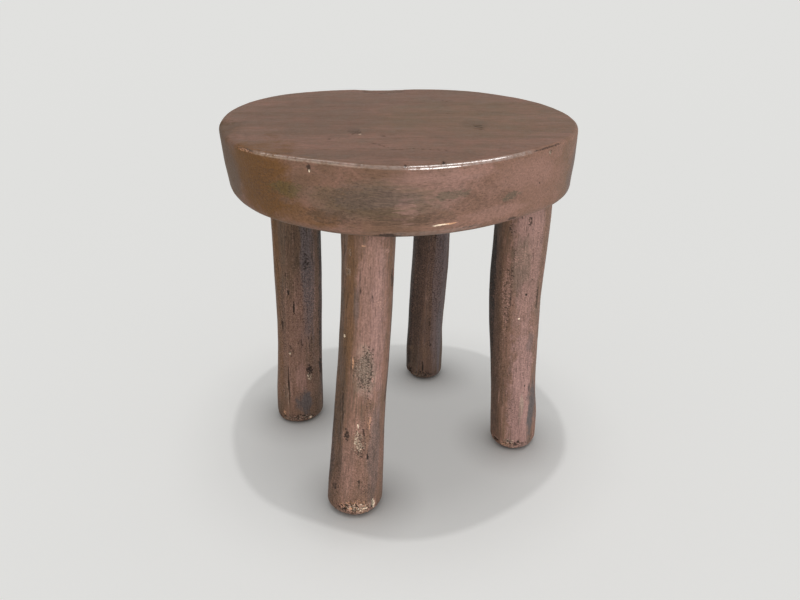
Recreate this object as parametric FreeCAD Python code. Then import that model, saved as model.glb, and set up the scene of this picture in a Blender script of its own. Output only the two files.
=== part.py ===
import FreeCAD, Part

import math
import os

# A low round stool: a thick hewn seat slab on four pole legs, each bent its own way.
# Every leg ends in a round tenon, blind in the seat's underside and spread by a hidden wedge.
# Lengths are millimetres. +Z is up, the floor is z = 0 and the front leg stands towards -Y.

# Whole stool
stool_height = 352.0

# Seat slab: a round with an uneven, hand cut edge that draws in towards the underside
seat_radius = 165.0
seat_thickness = 60.0
side_taper = 6.0
side_belly = 1.2
rim_round = 3.5
lower_round = 9.0

# The slab's edge every 22.5 degrees, counter-clockwise from +X: at the rim as shares of the seat
# radius, and at the underside as shares of that radius less the taper
rim_shares = [
    1.008, 1.012, 1.02, 1.01, 0.96, 1.01, 1.077, 1.047,
    0.995, 0.979, 0.981, 0.942, 0.979, 0.967, 0.96, 0.997,
]
underside_shares = [
    1.017, 1.01, 1.01, 1.005, 0.97, 1.01, 1.06, 1.03,
    0.992, 0.972, 0.972, 0.985, 0.99, 0.962, 0.965, 1.014,
]

# Tenons, their sockets and the wedges that lock them
tenon_radius = 15.0
socket_roof = 19.0
kerf_root = 11.0
kerf_slit = 1.2
wedge_thickness = 6.0
fit_clearance = 0.15
end_clearance = 0.6

# Leg ends
foot_round = 9.5
shoulder_round = 1.2

# A leg's cross-section every 45 degrees, as shares of its radius at that height
section_shares = [1.0, 1.018, 0.985, 0.992, 1.012, 0.982, 1.015, 0.996]

# Legs. The angle is where the shoulder stands round the seat, and the inset is how far its outer
# side keeps from the edge of the flat underside, or passes it where negative. The foot stands
# out and aside of the shoulder. Girth and bow are given at even steps from floor to shoulder, as
# shares of the leg's radius: the girth there, and how far the pole bows off straight along X.
legs = {
    "front": {
        "angle": -102.0,
        "inset": 14.5,
        "out": 11.2,
        "aside": -17.2,
        "radius": 24.0,
        "turn": 20.0,
        "girth_shares": [1.165, 1.12, 1.06, 1.02, 1.0, 0.985, 0.97, 0.975, 1.0],
        "bow_shares": [0.0, 0.0, 0.01, 0.02, 0.055, 0.075, 0.085, 0.06, 0.0],
    },
    "right": {
        "angle": -7.8,
        "inset": 0.5,
        "out": 7.0,
        "aside": 0.5,
        "radius": 26.0,
        "turn": 75.0,
        "girth_shares": [0.95, 0.975, 0.925, 0.955, 1.0, 1.025, 1.045, 1.045, 1.035],
        "bow_shares": [0.0, -0.015, -0.095, -0.14, -0.18, -0.2, -0.13, -0.05, 0.0],
    },
    "back": {
        "angle": 69.6,
        "inset": 4.5,
        "out": 6.0,
        "aside": 11.0,
        "radius": 22.0,
        "turn": 140.0,
        "girth_shares": [1.045, 1.05, 0.99, 1.015, 1.02, 0.99, 0.98, 0.98, 0.98],
        "bow_shares": [0.0, -0.04, -0.055, -0.02, 0.04, 0.05, 0.035, 0.02, 0.0],
    },
    "left": {
        "angle": 160.5,
        "inset": 12.5,
        "out": 9.4,
        "aside": 2.9,
        "radius": 26.0,
        "turn": 200.0,
        "girth_shares": [1.05, 1.035, 0.985, 0.965, 0.985, 1.005, 1.005, 1.01, 1.02],
        "bow_shares": [0.0, 0.0, 0.04, 0.075, 0.075, 0.07, 0.05, 0.025, 0.0],
    },
}

# How far a cutting or joining solid runs past what it meets
overrun = 5.0

# Surfaces are laid as level rings joined by straight bands: this many to a rounded edge, to the
# slight easing of a shoulder and to a pole
bands_per_round = 4
bands_per_easing = 2
bands_per_pole = 10

# Heights and depths that follow
underside = stool_height - seat_thickness
flat_reach = seat_radius - side_taper - lower_round
socket_depth = seat_thickness - socket_roof
tenon_length = socket_depth - end_clearance
kerf_mouth = wedge_thickness + 2.0 * fit_clearance


def closed_outline(centre, reaches, turn):
    """A smooth level ring round a centre, in two halves, through one point for each reach."""
    count = len(reaches)
    points = []
    for i, reach in enumerate(reaches):
        angle = math.radians(turn + i * 360.0 / count)
        points.append(centre + FreeCAD.Vector(math.cos(angle), math.sin(angle), 0.0) * reach)
    curve = Part.BSplineCurve()
    curve.interpolate(Points=points, Parameters=list(range(count + 1)), PeriodicFlag=True)
    return Part.Wire([curve.toShape(0, count / 2), curve.toShape(count / 2, count)])


def rounded_edge(size, bands):
    """Steps round a quarter turn: how far each lies in from the side and up from the flat."""
    steps = []
    for i in range(bands + 1):
        angle = math.radians(90.0 * i / bands)
        steps.append((size * (1.0 - math.sin(angle)), size * (1.0 - math.cos(angle))))
    return steps


def read_along(shares, t):
    """Reads evenly spaced shares at t, from 0 to 1, on a smooth curve through them."""
    spans = len(shares) - 1
    i = min(int(t * spans), spans - 1)
    u = t * spans - i
    before, start, end, after = (shares[min(max(i + k, 0), spans)] for k in (-1, 0, 1, 2))
    rise = (end - before) / 2.0
    fall = (after - start) / 2.0
    bend = 2.0 * (start - end) + rise + fall
    return start + u * (rise + u * (3.0 * (end - start) - 2.0 * rise - fall + u * bend))


def shoulder_centre(leg):
    """Where a leg's centre line meets the seat's underside."""
    reach = flat_reach - leg["inset"] - leg["radius"] * leg["girth_shares"][-1]
    angle = math.radians(leg["angle"])
    return FreeCAD.Vector(reach * math.cos(angle), reach * math.sin(angle), underside)


def foot_centre(leg):
    """Where a leg's centre line meets the floor."""
    angle = math.radians(leg["angle"])
    outwards = FreeCAD.Vector(math.cos(angle), math.sin(angle), 0.0)
    sideways = FreeCAD.Vector(-math.sin(angle), math.cos(angle), 0.0)
    foot = shoulder_centre(leg) + outwards * leg["out"] + sideways * leg["aside"]
    foot.z = 0.0
    return foot


def seat_into_shoulder(solid, leg):
    """Moves a solid made round the Z axis onto a leg's leaning axis, its origin at the shoulder."""
    lean = shoulder_centre(leg) - foot_centre(leg)
    turn = FreeCAD.Rotation(FreeCAD.Vector(0.0, 0.0, 1.0), lean)
    solid.Placement = FreeCAD.Placement(shoulder_centre(leg), turn)
    return solid


def round_bar(radius, low, high):
    """A cylinder round the Z axis between two heights."""
    return Part.makeCylinder(radius, high - low, FreeCAD.Vector(0.0, 0.0, low))


def tapered_plate(low, high, clearance):
    """A plate across a tenon that thickens upwards as its sawn kerf spreads."""
    half_width = tenon_radius + overrun

    def half_thickness(z):
        spread = (kerf_mouth - kerf_slit) * (z - kerf_root) / (tenon_length - kerf_root)
        return (kerf_slit + spread) / 2.0 - clearance

    corners = [
        FreeCAD.Vector(-half_thickness(low), -half_width, low),
        FreeCAD.Vector(half_thickness(low), -half_width, low),
        FreeCAD.Vector(half_thickness(high), -half_width, high),
        FreeCAD.Vector(-half_thickness(high), -half_width, high),
    ]
    face = Part.Face(Part.makePolygon(corners + corners[:1]))
    return face.extrude(FreeCAD.Vector(0.0, 2.0 * half_width, 0.0))


def seat_ring(inset, height):
    """One level ring of the slab's side, between its underside and rim outlines."""
    t = (height - underside) / seat_thickness
    belly = side_belly * 4.0 * t * (1.0 - t)
    reaches = []
    for rim, under in zip(rim_shares, underside_shares):
        side = seat_radius * rim * t + (seat_radius - side_taper) * under * (1.0 - t)
        reaches.append(side + belly - inset)
    return closed_outline(FreeCAD.Vector(0.0, 0.0, height), reaches, 0.0)


def seat():
    """The slab, with a blind socket in its underside for every leg."""
    rings = []
    for inset, up in rounded_edge(lower_round, bands_per_round):
        rings.append(seat_ring(inset, underside + up))
    rings.append(seat_ring(0.0, underside + seat_thickness / 2.0))
    for inset, down in reversed(rounded_edge(rim_round, bands_per_round)):
        rings.append(seat_ring(inset, stool_height - down))
    slab = Part.makeLoft(rings, True, True)
    for leg in legs.values():
        socket = round_bar(tenon_radius + fit_clearance, -overrun, socket_depth)
        slab = slab.cut(seat_into_shoulder(socket, leg))
    return slab


def pole_ring(leg, inset, height):
    """One level ring of a leg, on its bowed centre line."""
    t = height / underside
    foot = foot_centre(leg)
    bow = FreeCAD.Vector(leg["radius"] * read_along(leg["bow_shares"], t), 0.0, 0.0)
    centre = foot + (shoulder_centre(leg) - foot) * t + bow
    radius = leg["radius"] * read_along(leg["girth_shares"], t) - inset
    return closed_outline(centre, [radius * share for share in section_shares], leg["turn"])


def pole(leg):
    """A leg below the seat: a bent round of changing girth, flat at the floor and the shoulder."""
    rings = []
    for inset, up in rounded_edge(foot_round, bands_per_round):
        rings.append(pole_ring(leg, inset, up))
    step = (underside - foot_round - shoulder_round) / bands_per_pole
    for i in range(1, bands_per_pole):
        rings.append(pole_ring(leg, 0.0, foot_round + i * step))
    for inset, down in reversed(rounded_edge(shoulder_round, bands_per_easing)):
        rings.append(pole_ring(leg, inset, underside - down))
    return Part.makeLoft(rings, True, True)


def leg_with_tenon(leg):
    """A pole with its round tenon, sawn across the seat's grain for the wedge."""
    tenon = seat_into_shoulder(round_bar(tenon_radius, -overrun, tenon_length), leg)
    kerf = seat_into_shoulder(tapered_plate(kerf_root, socket_depth + overrun, 0.0), leg)
    return pole(leg).fuse(tenon).cut(kerf)


def wedge(leg):
    """The wedge that the socket's roof drives into the kerf as the leg goes home."""
    low = kerf_root + fit_clearance
    high = socket_depth - fit_clearance
    plate = tapered_plate(low, high, fit_clearance)
    trimmed = plate.common(round_bar(tenon_radius, low, high))
    return seat_into_shoulder(trimmed, leg)


def write(shape, name):
    """Saves one sub-part's single solid."""
    shape.Solids[0].exportStep("parts/" + name + ".step")


os.makedirs("parts", exist_ok=True)
write(seat(), "seat")
for side, leg in legs.items():
    write(leg_with_tenon(leg), side + "_leg")
    write(wedge(leg), side + "_wedge")
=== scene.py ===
import math

import bpy
from mathutils import Matrix, Vector


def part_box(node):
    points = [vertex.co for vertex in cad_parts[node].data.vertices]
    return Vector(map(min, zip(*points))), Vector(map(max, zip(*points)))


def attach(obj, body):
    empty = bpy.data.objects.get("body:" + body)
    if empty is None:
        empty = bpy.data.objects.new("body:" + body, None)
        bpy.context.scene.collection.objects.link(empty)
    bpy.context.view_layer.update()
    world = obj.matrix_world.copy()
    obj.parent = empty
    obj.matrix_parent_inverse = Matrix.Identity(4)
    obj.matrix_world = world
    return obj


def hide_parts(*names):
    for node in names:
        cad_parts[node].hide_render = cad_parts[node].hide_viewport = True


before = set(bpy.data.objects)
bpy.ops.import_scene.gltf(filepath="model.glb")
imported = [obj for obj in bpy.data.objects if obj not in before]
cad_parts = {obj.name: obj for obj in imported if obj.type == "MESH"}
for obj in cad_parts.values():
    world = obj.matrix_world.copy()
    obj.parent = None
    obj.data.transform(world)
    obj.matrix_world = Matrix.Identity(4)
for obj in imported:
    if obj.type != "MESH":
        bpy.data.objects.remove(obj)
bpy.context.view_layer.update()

mm = 0.001


class NodeSheet:
    # adds nodes to one tree; an input takes a plain value, a node or a node's socket

    def __init__(self, tree):
        self.tree = tree
        self.tree.nodes.clear()

    def add(self, kind, inputs=None, **settings):
        node = self.tree.nodes.new(kind)
        count = len(self.tree.nodes) - 1
        node.location = (220 * (count // 5), -210 * (count % 5))      # five to a column
        for name, value in settings.items():
            setattr(node, name, value)
        for key, value in (inputs or {}).items():
            self.plug(value, node.inputs[key])
        return node

    def plug(self, value, socket):
        if isinstance(value, bpy.types.Node):
            value = value.outputs[0]
        if isinstance(value, bpy.types.NodeSocket):
            self.tree.links.new(value, socket)
        else:
            socket.default_value = value

    def math(self, operation, *values):
        return self.add("ShaderNodeMath", dict(enumerate(values)), operation=operation).outputs[0]

    def plus(self, first, second):
        return self.math("ADD", first, second)

    def minus(self, first, second):
        return self.math("SUBTRACT", first, second)

    def times(self, first, second):
        return self.math("MULTIPLY", first, second)

    def over(self, first, second):
        return self.math("DIVIDE", first, second)

    def vector(self, operation, *values, scale=None):
        inputs = dict(enumerate(values))
        if scale is not None:
            inputs["Scale"] = scale
        node = self.add("ShaderNodeVectorMath", inputs, operation=operation)
        return node.outputs["Value" if operation in ("LENGTH", "DOT_PRODUCT") else 0]

    def parts(self, vector):
        return self.add("ShaderNodeSeparateXYZ", {0: vector}).outputs

    def join(self, x, y, z):
        return self.add("ShaderNodeCombineXYZ", {0: x, 1: y, 2: z}).outputs[0]

    def ramp(self, value, low, high, start=0.0, end=1.0, kind="SMOOTHSTEP"):
        inputs = {"Value": value, "From Min": low, "From Max": high, "To Min": start, "To Max": end}
        return self.add("ShaderNodeMapRange", inputs, interpolation_type=kind, clamp=True).outputs[0]

    def blend(self, share, first, second):
        return self.add("ShaderNodeMix", {0: share, 2: first, 3: second}, data_type="FLOAT").outputs[0]

    def tint(self, share, first, second, how="MIX"):
        inputs = {0: share, 6: first, 7: second}
        return self.add("ShaderNodeMix", inputs, data_type="RGBA", blend_type=how).outputs[2]

    def noise(self, vector, size, detail=2.0, rough=0.5, twist=0.0):
        inputs = {"Vector": vector, "Scale": size, "Detail": detail, "Roughness": rough, "Distortion": twist}
        return self.add("ShaderNodeTexNoise", inputs, noise_dimensions="3D").outputs[0]


def newTree(name, kind, takes, gives):
    # takes and gives: kind of socket -> the names of its sockets; every use of a tree sets them all
    tree = bpy.data.node_groups.new(name, kind)
    for side, sockets in (("INPUT", takes), ("OUTPUT", gives)):
        for socketType, labels in sockets.items():
            for label in labels.split():
                tree.interface.new_socket(name=label, in_out=side, socket_type="NodeSocket" + socketType)
    sheet = NodeSheet(tree)
    source = sheet.add("NodeGroupInput")
    sink = sheet.add("NodeGroupOutput")
    return tree, sheet, source.outputs, sink


def useGroup(sheet, group, inputs):
    kind = "GeometryNodeGroup" if sheet.tree.bl_idname == "GeometryNodeTree" else "ShaderNodeGroup"
    node = sheet.add(kind, node_tree=group)
    for key, value in inputs.items():
        sheet.plug(value, node.inputs[key])
    return node


def keepOnPoints(sheet, geometry, name, value, kind="FLOAT"):
    inputs = {"Geometry": geometry, "Name": name, "Value": value}
    return sheet.add("GeometryNodeStoreNamedAttribute", inputs, data_type=kind, domain="POINT")


def makeRoundTree():
    # a closed round with fine, even faces: rays shot in at its axis read the guide's outline
    takes = {"Object": "guide", "Vector": "axisFoot axisHead", "Int": "around rows rings smoothing",
             "Float": "footRound headRound footShare headShare reach"}
    tree, s, source, sink = newTree("cutRound", "GeometryNodeTree", takes, {"Geometry": "geometry"})
    blank = s.add("GeometryNodeMeshCylinder", {
        "Vertices": source["around"], "Side Segments": source["rows"], "Fill Segments": source["rings"],
        "Radius": 1.0, "Depth": 1.0}, fill_type="TRIANGLE_FAN")
    place = s.parts(s.add("GeometryNodeInputPosition"))
    outwards = s.math("MINIMUM", s.vector("LENGTH", s.join(place[0], place[1], 0.0)), 1.0)
    angle = s.math("ARCTAN2", place[1], place[0])
    aim = s.join(s.math("COSINE", angle), s.math("SINE", angle), 0.0)
    height = s.plus(place[2], 0.5)

    # quarter turns at the foot and the head, and the straight wall between them
    quarter = math.pi / 2
    footTurn = s.ramp(height, 0.0, source["footShare"], quarter, 0.0, "LINEAR")
    headFrom = s.minus(1.0, source["headShare"])
    headTurn = s.ramp(height, headFrom, 1.0, 0.0, quarter, "LINEAR")
    footZ = s.parts(source["axisFoot"])[2]
    headZ = s.parts(source["axisHead"])[2]
    wallFoot = s.plus(footZ, source["footRound"])
    wallHead = s.minus(headZ, source["headRound"])
    wallZ = s.ramp(height, source["footShare"], headFrom, wallFoot, wallHead, "LINEAR")

    def roundOff(size, turn):
        # how far a rounded end runs past the wall, and how far it draws in
        past = s.times(source[size], s.math("SINE", turn))
        inset = s.times(source[size], s.minus(1.0, s.math("COSINE", turn)))
        return past, inset

    drop, footInset = roundOff("footRound", footTurn)
    rise, headInset = roundOff("headRound", headTurn)
    z = s.plus(s.minus(wallZ, drop), rise)

    def axisAt(level):
        share = s.over(s.minus(level, footZ), s.minus(headZ, footZ))
        run = s.vector("SUBTRACT", source["axisHead"], source["axisFoot"])
        return s.vector("ADD", source["axisFoot"], s.vector("SCALE", run, scale=share))

    guide = s.add("GeometryNodeObjectInfo", {"Object": source["guide"]}, transform_space="ORIGINAL")
    merged = s.add("GeometryNodeMergeByDistance", {
        "Geometry": guide.outputs["Geometry"], "Distance": 0.01 * mm})
    start = s.vector("ADD", axisAt(wallZ), s.vector("SCALE", aim, scale=source["reach"]))
    ray = s.add("GeometryNodeRaycast", {
        "Target Geometry": merged, "Source Position": start,
        "Ray Direction": s.vector("SCALE", aim, scale=-1.0), "Ray Length": source["reach"]})
    reach = s.minus(source["reach"], ray.outputs["Hit Distance"])
    blur = {"Value": reach, "Iterations": source["smoothing"]}
    smooth = s.add("GeometryNodeBlurAttribute", blur, data_type="FLOAT").outputs[0]
    drawnIn = s.minus(s.minus(smooth, footInset), headInset)
    spoke = s.vector("SCALE", aim, scale=s.times(outwards, drawnIn))
    bend = s.parts(axisAt(z))
    shaped = s.vector("ADD", spoke, s.join(bend[0], bend[1], z))

    # straightAt is each point as if the piece stood straight on the origin, for what follows the grain;
    # crown is 1 on top, 0 on the wall and -1 underneath
    straight = s.vector("ADD", spoke, s.join(0.0, 0.0, z))
    crown = s.minus(s.math("SINE", headTurn), s.math("SINE", footTurn))
    kept = keepOnPoints(s, blank, "straightAt", straight, "FLOAT_VECTOR")
    kept = keepOnPoints(s, kept, "crown", crown)
    s.plug(s.add("GeometryNodeSetPosition", {"Geometry": kept, "Position": shaped}), sink.inputs["geometry"])
    return tree


def makeMarkTree(kind):
    # a ragged patch round a centre, 1 where the mark lies; cover thins it out to crumbs
    takes = {"Vector": "place grainPlace centre size", "Float": "turn grain ragged cover soft"}
    farthest = 4.0       # how many sizes out the edge may still wander
    bayDepth = 2.6
    bareLevel = 0.72     # the noise value that only lone crumbs pass
    tree, s, source, sink = newTree("mark", kind, takes, {"Float": "mask"})
    offset = s.vector("SCALE", source["centre"], scale=370.0)     # gives each mark its own outline
    if kind == "ShaderNodeTree":
        # a material takes many more marks where their places come from mapping nodes alone
        wide = s.add("ShaderNodeMapping", {
            "Vector": source["place"], "Location": source["centre"],
            "Rotation": s.join(0.0, 0.0, source["turn"]),
            "Scale": s.vector("SCALE", source["size"], scale=farthest)}, vector_type="TEXTURE")
        inside = s.add("ShaderNodeTexGradient", {"Vector": wide}, gradient_type="SPHERICAL").outputs["Fac"]
        distance = s.times(s.minus(1.0, inside), farthest)
        seeded = s.add("ShaderNodeMapping", {"Vector": wide, "Location": offset, "Scale": (farthest,) * 3})
    else:
        away = s.vector("SUBTRACT", source["place"], source["centre"])
        turned = s.add("ShaderNodeVectorRotate", {
            "Vector": away, "Angle": s.times(source["turn"], -1.0)}, rotation_type="Z_AXIS")
        sized = s.vector("DIVIDE", turned, source["size"])
        distance = s.vector("LENGTH", sized)
        seeded = s.vector("ADD", sized, offset)
    bay = s.times(s.minus(s.noise(seeded, 1.4, 3.0, 0.6), 0.5), source["ragged"])
    reach = s.plus(distance, s.times(bay, bayDepth))
    strength = s.ramp(reach, 0.25, 1.0, 1.0, 0.0)

    # towards its edge a mark thins out to lone crumbs
    speck = s.noise(source["grainPlace"], s.over(1.0, source["grain"]), 5.0, 0.75, 0.5)
    gain = s.times(strength, s.times(source["cover"], 0.5))
    need = s.minus(bareLevel, gain)
    crumbs = s.ramp(speck, s.minus(need, source["soft"]), s.plus(need, source["soft"]))
    s.plug(s.times(crumbs, s.ramp(strength, 0.0, 0.2)), sink.inputs["mask"])
    return tree


def makeFlatTree():
    # how far a hewn flat cuts into a pole: it faces one way, at a set distance from the pole's axis
    takes = {"Vector": "straightPlace", "Float": "faces distance low high fade"}
    tree, s, source, sink = newTree("hewnFlat", "GeometryNodeTree", takes, {"Float": "depth"})
    way = s.join(s.math("COSINE", source["faces"]), s.math("SINE", source["faces"]), 0.0)
    out = s.vector("DOT_PRODUCT", source["straightPlace"], way)
    over = s.math("MAXIMUM", s.minus(out, source["distance"]), 0.0)
    height = s.parts(source["straightPlace"])[2]
    lowEnd = s.ramp(height, s.minus(source["low"], source["fade"]), source["low"])
    highEnd = s.ramp(height, source["high"], s.plus(source["high"], source["fade"]), 1.0, 0.0)
    s.plug(s.times(over, s.times(lowEnd, highEnd)), sink.inputs["depth"])
    return tree


def makeToolMarksTree():
    # how deep the blade, the years and the dry wood have cut into a surface
    takes = {"Vector": "place stretch", "Float": "seed waveSize waveDepth facetSize facetDepth "
             "grainSize grainDepth crackSize crackDepth crackShare"}
    tree, s, source, sink = newTree("toolMarks", "GeometryNodeTree", takes, {"Float": "depth hollow"})

    def per(size):
        return s.over(1.0, source[size])

    shift = s.join(source["seed"], s.times(source["seed"], 1.7), 0.0)
    seeded = s.vector("ADD", source["place"], shift)
    drawn = s.vector("MULTIPLY", seeded, source["stretch"])
    wave = s.times(s.noise(seeded, per("waveSize"), 1.0), source["waveDepth"])

    # a facet is a shallow scoop, long where the stretch is small
    half = s.vector("SCALE", s.vector("ADD", source["stretch"], (0.35, 0.35, 0.35)), scale=0.75)
    cells = s.add("ShaderNodeTexVoronoi", {
        "Vector": s.vector("MULTIPLY", seeded, half), "Scale": per("facetSize"),
        "Randomness": 0.9}, feature="F1")
    scoop = s.ramp(cells.outputs["Distance"], 0.0, 0.75, 1.0, 0.0, "LINEAR")
    facet = s.times(scoop, source["facetDepth"])
    grain = s.times(s.noise(drawn, per("grainSize"), 3.0, 0.6), source["grainDepth"])

    # cracks follow the grain and come in patches
    lines = s.math("ABSOLUTE", s.minus(s.noise(drawn, per("crackSize"), 2.0, 0.55, 0.4), 0.5))
    cut = s.ramp(lines, 0.0, 0.02, 1.0, 0.0)
    patch = s.noise(seeded, s.times(per("crackSize"), 0.35), 2.0)
    openPart = s.ramp(patch, source["crackShare"], s.plus(source["crackShare"], 0.12))
    hollow = s.times(cut, openPart)
    crack = s.times(hollow, source["crackDepth"])

    depth = s.plus(s.plus(wave, facet), s.plus(grain, crack))
    s.plug(depth, sink.inputs["depth"])
    s.plug(hollow, sink.inputs["hollow"])
    return tree


def makePieceTree(name, shape):
    # one piece: its round, its own marks and flats, the tool marks, then its material
    takes = {"Material": "material", "Vector": "low high"}
    passedOn = {"cutRound": [], "toolMarks": []}
    for group, labels in passedOn.items():
        for item in shapeGroups[group].interface.items_tree:
            if item.in_out == "INPUT" and item.name != "place":
                kind = item.socket_type.replace("NodeSocket", "")
                takes[kind] = takes.get(kind, "") + " " + item.name
                labels.append(item.name)
    tree, s, source, sink = newTree(name, "GeometryNodeTree", takes, {"Geometry": "geometry"})
    blank = useGroup(s, shapeGroups["cutRound"], {label: source[label] for label in passedOn["cutRound"]})
    straight = s.add("GeometryNodeInputNamedAttribute", {"Name": "straightAt"},
                     data_type="FLOAT_VECTOR").outputs[0]
    worked = useGroup(s, shapeGroups["toolMarks"], {
        "place": straight, **{label: source[label] for label in passedOn["toolMarks"]}})
    place = s.add("GeometryNodeInputPosition").outputs[0]
    depth = worked.outputs["depth"]
    drawn = s.vector("MULTIPLY", straight, source["stretch"])
    for one in shape["marks"]:
        if one["depth"]:
            mask = useGroup(s, shapeGroups["mark"], markInputs(one, place, straight, drawn))
            depth = s.plus(depth, s.times(mask, one["depth"] * mm))
    for flat in shape["flats"]:
        depth = s.plus(depth, useGroup(s, shapeGroups["hewnFlat"], {"straightPlace": straight, **flat}))
    normal = s.add("GeometryNodeInputNormal").outputs[0]
    inwards = s.vector("SCALE", normal, scale=s.times(depth, -1.0))
    kept = keepOnPoints(s, blank, "hollow", worked.outputs["hollow"])
    cut = s.add("GeometryNodeSetPosition", {"Geometry": kept, "Offset": inwards})
    inside = s.vector("MINIMUM", s.vector("MAXIMUM", place, source["low"]), source["high"])
    cut = s.add("GeometryNodeSetPosition", {"Geometry": cut, "Position": inside})

    # cavity: how far each point lies below its neighbours, in millimetres, and less than nothing on ridges
    blur = {"Value": place, "Iterations": 5}
    around = s.add("GeometryNodeBlurAttribute", blur, data_type="FLOAT_VECTOR").outputs[0]
    below = s.vector("DOT_PRODUCT", s.vector("SUBTRACT", around, place), normal)
    cut = keepOnPoints(s, cut, "cavity", s.over(below, mm))
    soft = s.add("GeometryNodeSetShadeSmooth", {"Geometry": cut, "Shade Smooth": True})
    real = s.add("GeometryNodeRealizeInstances", {"Geometry": soft})
    done = s.add("GeometryNodeSetMaterial", {"Geometry": real, "Material": source["material"]})
    s.plug(done, sink.inputs["geometry"])
    return tree


def mark(at, size, tint=None, share=0.0, grain=3.0, cover=1.0, depth=0.0, **more):
    # one mark on the wood, in millimetres in the stool's own frame, or in the pole's where onPole is set:
    # its place and size, its colour and how much of it shows, how big its crumbs are and how close they
    # lie, and its depth; along lets the crumbs follow the wood's grain, and soft blurs their edges
    plain = {"ragged": 0.5, "soft": 0.045, "turn": 0.0, "along": False, "onPole": False}
    return {**plain, "at": at, "size": size, "tint": tint, "share": share, "grain": grain, "cover": cover,
            "depth": depth, **more}


def tone(at, size, tint, share, grain=9.0, cover=1.0, **more):
    # a soft change of tone
    return mark(at, size, tint, share, grain, cover, **{"soft": 0.22, "onPole": True, **more})


def strokes(at, size, tint, share, grain=9.0, cover=1.0, **more):
    # a tone drawn out along the wood's grain
    return tone(at, size, tint, share, grain, cover, along=True, **more)


def dryingCrack(at, size, depth=0.8, onPole=True):
    return mark(at, size, "pitch", 0.7, depth=depth, ragged=0.2, onPole=onPole)


def wornFoot(share=0.6, cover=0.4):
    # dirt and bare crumbs round a foot's edge
    return [
        mark((0, 0, 5), (60, 60, 10), "pitch", 0.6, 2.0, 0.42, 0.4, onPole=True),
        mark((0, 0, 5), (60, 60, 9), "sand", share, 1.6, cover, onPole=True),
    ]


def markInputs(one, place, straight, drawn):
    return {
        "place": straight if one["onPole"] else place, "grainPlace": drawn if one["along"] else straight,
        "centre": [v * mm for v in one["at"]], "size": [v * mm for v in one["size"]],
        "turn": math.radians(one["turn"]), "grain": one["grain"] * mm, "ragged": one["ragged"],
        "cover": one["cover"], "soft": one["soft"]}


def hewnFlat(faces, distance, low, high, fade=30):
    # faces is in degrees round the pole, and the rest in millimetres
    return {"faces": math.radians(faces), "distance": distance * mm, "low": low * mm, "high": high * mm,
            "fade": fade * mm}


shapeGroups = {
    "cutRound": makeRoundTree(), "mark": makeMarkTree("GeometryNodeTree"), "hewnFlat": makeFlatTree(),
    "toolMarks": makeToolMarksTree()}
print("shape trees built")


def makeGrainGroup():
    # what old wood shows along its grain: bands, fine lines and pores, with clouds and mottling over them
    takes = {"Vector": "place stretch", "Float": "band line cloud mottle seed"}
    gives = {"Float": "bands lines clouds mottles specks pores"}
    tree, s, source, sink = newTree("woodGrain", "ShaderNodeTree", takes, gives)
    seeded = s.vector("ADD", source["place"], s.join(source["seed"], 0.0, source["seed"]))
    drawn = s.vector("MULTIPLY", seeded, source["stretch"])
    fine = s.vector("MULTIPLY", s.vector("ADD", seeded, drawn), (1.2, 1.2, 1.2))
    slim = s.vector("MULTIPLY", drawn, (1.6, 1.6, 1.6))
    # where each is read, its size, the noise's detail and roughness, and the values it runs between
    for label, vector, size, detail, rough, low, high in (
            ("bands", drawn, "band", 4.0, 0.6, 0.3, 0.7),
            ("lines", drawn, "line", 3.0, 0.6, 0.34, 0.66),
            ("clouds", seeded, "cloud", 4.0, 0.6, 0.3, 0.7),
            ("mottles", seeded, "mottle", 3.0, 0.65, 0.33, 0.67),
            ("specks", fine, "mottle", 1.0, 0.6, 0.36, 0.64),
            ("pores", slim, "line", 2.0, 0.5, 0.57, 0.68)):
        value = s.noise(vector, s.over(1.0, source[size]), detail, rough, 0.2)
        s.plug(s.ramp(value, low, high, kind="LINEAR"), sink.inputs[label])
    return tree


def makeWearAndPaintedLightGroup():
    # dirt and painted shade lie in the hollows, and the ridges are rubbed bare and carry a painted highlight
    takes = {"Float": "cavity break dirtAt bareAt"}
    tree, s, source, sink = newTree("wearAndPaintedLight", "ShaderNodeTree", takes, {"Float": "dirt bare"})
    loose = s.times(s.minus(source["break"], 0.5), 0.5)
    dirt = s.plus(s.over(source["cavity"], source["dirtAt"]), loose)
    above = s.times(source["bareAt"], -1.0)
    bare = s.plus(s.over(source["cavity"], above), loose)
    s.plug(s.ramp(dirt, 0.15, 1.0), sink.inputs["dirt"])
    s.plug(s.ramp(bare, 0.5, 1.2), sink.inputs["bare"])
    return tree


def makeEndGrainGroup():
    # year rings round a pole's own axis, crossed by drying cracks
    takes = {"Vector": "straightPlace", "Float": "ring"}
    tree, s, source, sink = newTree("endGrain", "ShaderNodeTree", takes, {"Float": "rings cracks"})
    part = s.parts(source["straightPlace"])
    wobble = s.times(s.noise(source["straightPlace"], 60.0, 2.0), 8 * mm)
    out = s.plus(s.vector("LENGTH", s.join(part[0], part[1], 0.0)), wobble)
    wave = s.math("SINE", s.times(s.over(out, source["ring"]), 2.0 * math.pi))
    s.plug(s.plus(s.times(wave, 0.5), 0.5), sink.inputs["rings"])
    angle = s.math("ARCTAN2", part[1], part[0])
    spokes = s.noise(s.join(s.math("SINE", angle), s.math("COSINE", angle), out), 3.4, 3.0, 0.6)
    gap = s.math("ABSOLUTE", s.minus(spokes, 0.5))
    s.plug(s.ramp(gap, 0.0, 0.02, 1.0, 0.0), sink.inputs["cracks"])
    return tree


shaderGroups = {
    "grain": makeGrainGroup(), "mark": makeMarkTree("ShaderNodeTree"), "wearAndPaintedLight": makeWearAndPaintedLightGroup(),
    "endGrain": makeEndGrainGroup()}
print("wood groups built")

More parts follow.
